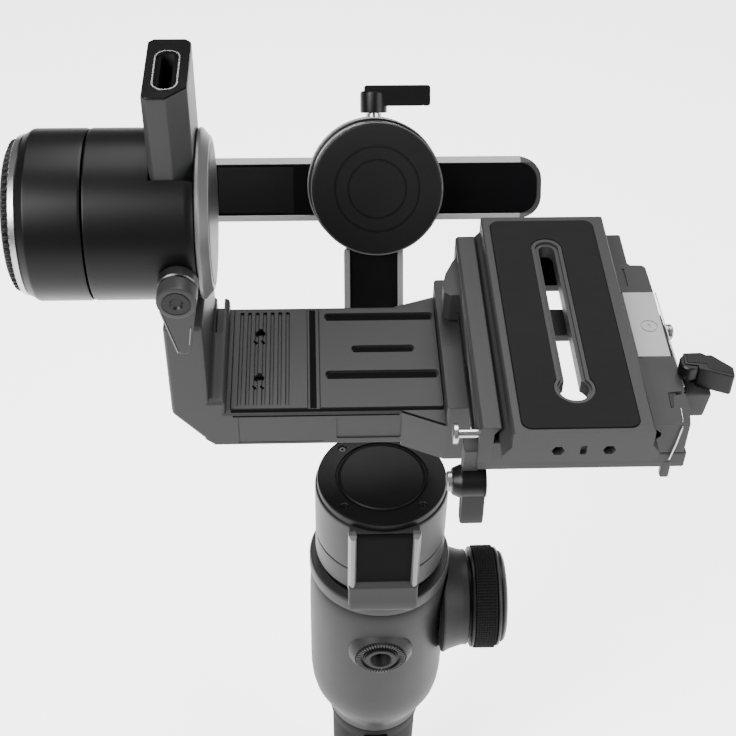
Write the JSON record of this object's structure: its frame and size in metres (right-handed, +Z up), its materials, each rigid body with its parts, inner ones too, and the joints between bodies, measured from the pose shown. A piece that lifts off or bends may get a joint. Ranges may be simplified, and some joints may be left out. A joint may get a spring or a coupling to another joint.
{
  "type": "gimbal stabilizer",
  "caption": "Hand-held three-axis camera stabilizer: grip with focus wheel, pan, roll and tilt motors on bent arms, and a quick-release camera plate.",
  "frame": {"origin": "middle of the foot of the handle, on the handle's axis", "axes": "+Z up along the handle, -Y to the front where the lens points, +X to the side with the focus wheel"},
  "size_m": [0.2669, 0.2294, 0.498],
  "materials": {
    "body_grey": "dark grey anodised, satin",
    "handle_grey": "moulded, matt grey",
    "satin_black": "black anodised, satin",
    "matt_black": "matt black",
    "rubber": "matt black rubber",
    "bright_metal": "bright machined metal",
    "copper": "wound coils and cores",
    "board_green": "circuit board",
    "cell_blue": "sleeved cells",
    "glass_black": "glossy black"
  },
  "bodies": {
    "handle": {"battery_cap": "satin_black", "battery_tube": "body_grey", "battery_cells": "cell_blue", "grip_sleeve": "rubber", "handle_body": "handle_grey", "front_thread_ring": "body_grey", "control_board": "board_green", "display_window": "glass_black", "wheel_boss": "handle_grey", "pan_stator": "copper", "pan_bearing": "bright_metal"},
    "focus_wheel": {"wheel_shaft": "bright_metal", "wheel_core": "bright_metal", "wheel_rubber": "rubber", "wheel_cap": "body_grey"},
    "trigger": {"trigger": "satin_black"},
    "joystick": {"joystick": "rubber"},
    "mode_button": {"mode_button": "matt_black"},
    "power_button": {"power_button": "matt_black"},
    "pan_stage": {"pan_collar": "body_grey", "pan_gap_ring": "matt_black", "pan_shell": "body_grey", "pan_shaft": "bright_metal", "pan_cap": "satin_black", "pan_front_boss": "bright_metal", "pan_front_panel": "satin_black", "pan_arm": "body_grey", "roll_housing": "body_grey", "roll_cap": "satin_black", "roll_stator": "copper", "roll_bearing": "bright_metal"},
    "roll_stage": {"roll_clamp": "body_grey", "roll_shaft": "bright_metal", "roll_lock_bolt": "bright_metal"},
    "roll_lock": {"roll_lock_lever": "satin_black"},
    "roll_bar": {"roll_bar": "body_grey", "roll_bar_strip": "glass_black", "tilt_housing": "satin_black", "tilt_end_cap": "bright_metal", "tilt_stator": "copper", "tilt_bearing": "bright_metal"},
    "tilt_stage": {"tilt_rotor": "satin_black", "tilt_flange": "satin_black", "tilt_shaft": "bright_metal"},
    "tilt_lock": {"tilt_lock_lever": "satin_black"},
    "arm": {"tilt_arm": "body_grey", "post_lining": "matt_black", "arm_top_plate": "body_grey", "quick_base": "body_grey", "right_jaw": "body_grey", "jaw_insert": "bright_metal", "jaw_screw": "bright_metal", "lever_post": "body_grey"},
    "plate_lever": {"plate_lever": "satin_black"},
    "safety_pin": {"safety_pin": "bright_metal"},
    "thumb_lever": {"thumb_lever": "satin_black"},
    "camera_plate": {"camera_plate": "body_grey", "plate_pad": "rubber"}
  },
  "joints": [
    {"name": "wheel_turn", "type": "hinge", "parent": "handle", "child": "focus_wheel", "pos_m": [0.05, 0, 0.2], "axis": [1, 0, 0], "continuous": true},
    {"name": "trigger_pull", "type": "hinge", "parent": "handle", "child": "trigger", "pos_m": [0, -0.0222, 0.1105], "axis": [1, 0, 0], "range_deg": [0, 4], "stiffness_Nm_per_rad": 0.06},
    {"name": "joystick_tilt", "type": "hinge", "parent": "handle", "child": "joystick", "pos_m": [0, 0.0215, 0.104], "axis": [1, 0, 0], "range_deg": [-10, 10], "stiffness_Nm_per_rad": 0.02},
    {"name": "mode_button_press", "type": "slide", "parent": "handle", "child": "mode_button", "axis": [0, -1, 0], "range_m": [0, 0.0012], "stiffness_N_per_m": 400},
    {"name": "power_button_press", "type": "slide", "parent": "handle", "child": "power_button", "axis": [0, -1, 0], "range_m": [0, 0.0012], "stiffness_N_per_m": 400},
    {"name": "pan_turn", "type": "hinge", "parent": "handle", "child": "pan_stage", "pos_m": [0, 0, 0.29], "axis": [0, 0, 1], "continuous": true},
    {"name": "roll_turn", "type": "hinge", "parent": "pan_stage", "child": "roll_stage", "pos_m": [0, 0, 0.438], "axis": [0, -0.8434, 0.5373], "range_deg": [-60, 60]},
    {"name": "roll_lock_turn", "type": "hinge", "parent": "roll_stage", "child": "roll_lock", "pos_m": [0, 0.14378, 0.39383], "axis": [0, 0.5373, 0.8434], "range_deg": [-30, 120]},
    {"name": "roll_bar_slide", "type": "slide", "parent": "roll_stage", "child": "roll_bar", "axis": [1, 0, 0], "range_m": [-0.03, 0.03]},
    {"name": "tilt_turn", "type": "hinge", "parent": "roll_bar", "child": "tilt_stage", "pos_m": [-0.09, 0, 0.438], "axis": [1, 0, 0], "range_deg": [-130, 65]},
    {"name": "tilt_lock_turn", "type": "hinge", "parent": "tilt_stage", "child": "tilt_lock", "pos_m": [-0.0776, -0.042, 0.433], "axis": [0, -1, 0], "range_deg": [-60, 60]},
    {"name": "arm_slide", "type": "slide", "parent": "tilt_stage", "child": "arm", "axis": [0, 0, 1], "range_m": [-0.02, 0]},
    {"name": "plate_lever_turn", "type": "hinge", "parent": "arm", "child": "plate_lever", "pos_m": [0.111, -0.0425, 0.398], "axis": [0, 0, 1], "range_deg": [-8, 50]},
    {"name": "safety_pin_pull", "type": "slide", "parent": "arm", "child": "safety_pin", "axis": [-1, 0, 0], "range_m": [0, 0.006], "stiffness_N_per_m": 150},
    {"name": "thumb_lever_turn", "type": "hinge", "parent": "arm", "child": "thumb_lever", "pos_m": [0.028, -0.067, 0.362], "axis": [1, 0, 0], "range_deg": [-45, 45]},
    {"name": "plate_slide", "type": "slide", "parent": "arm", "child": "camera_plate", "axis": [0, 1, 0], "range_m": [-0.02, 0.02]}
  ]
}
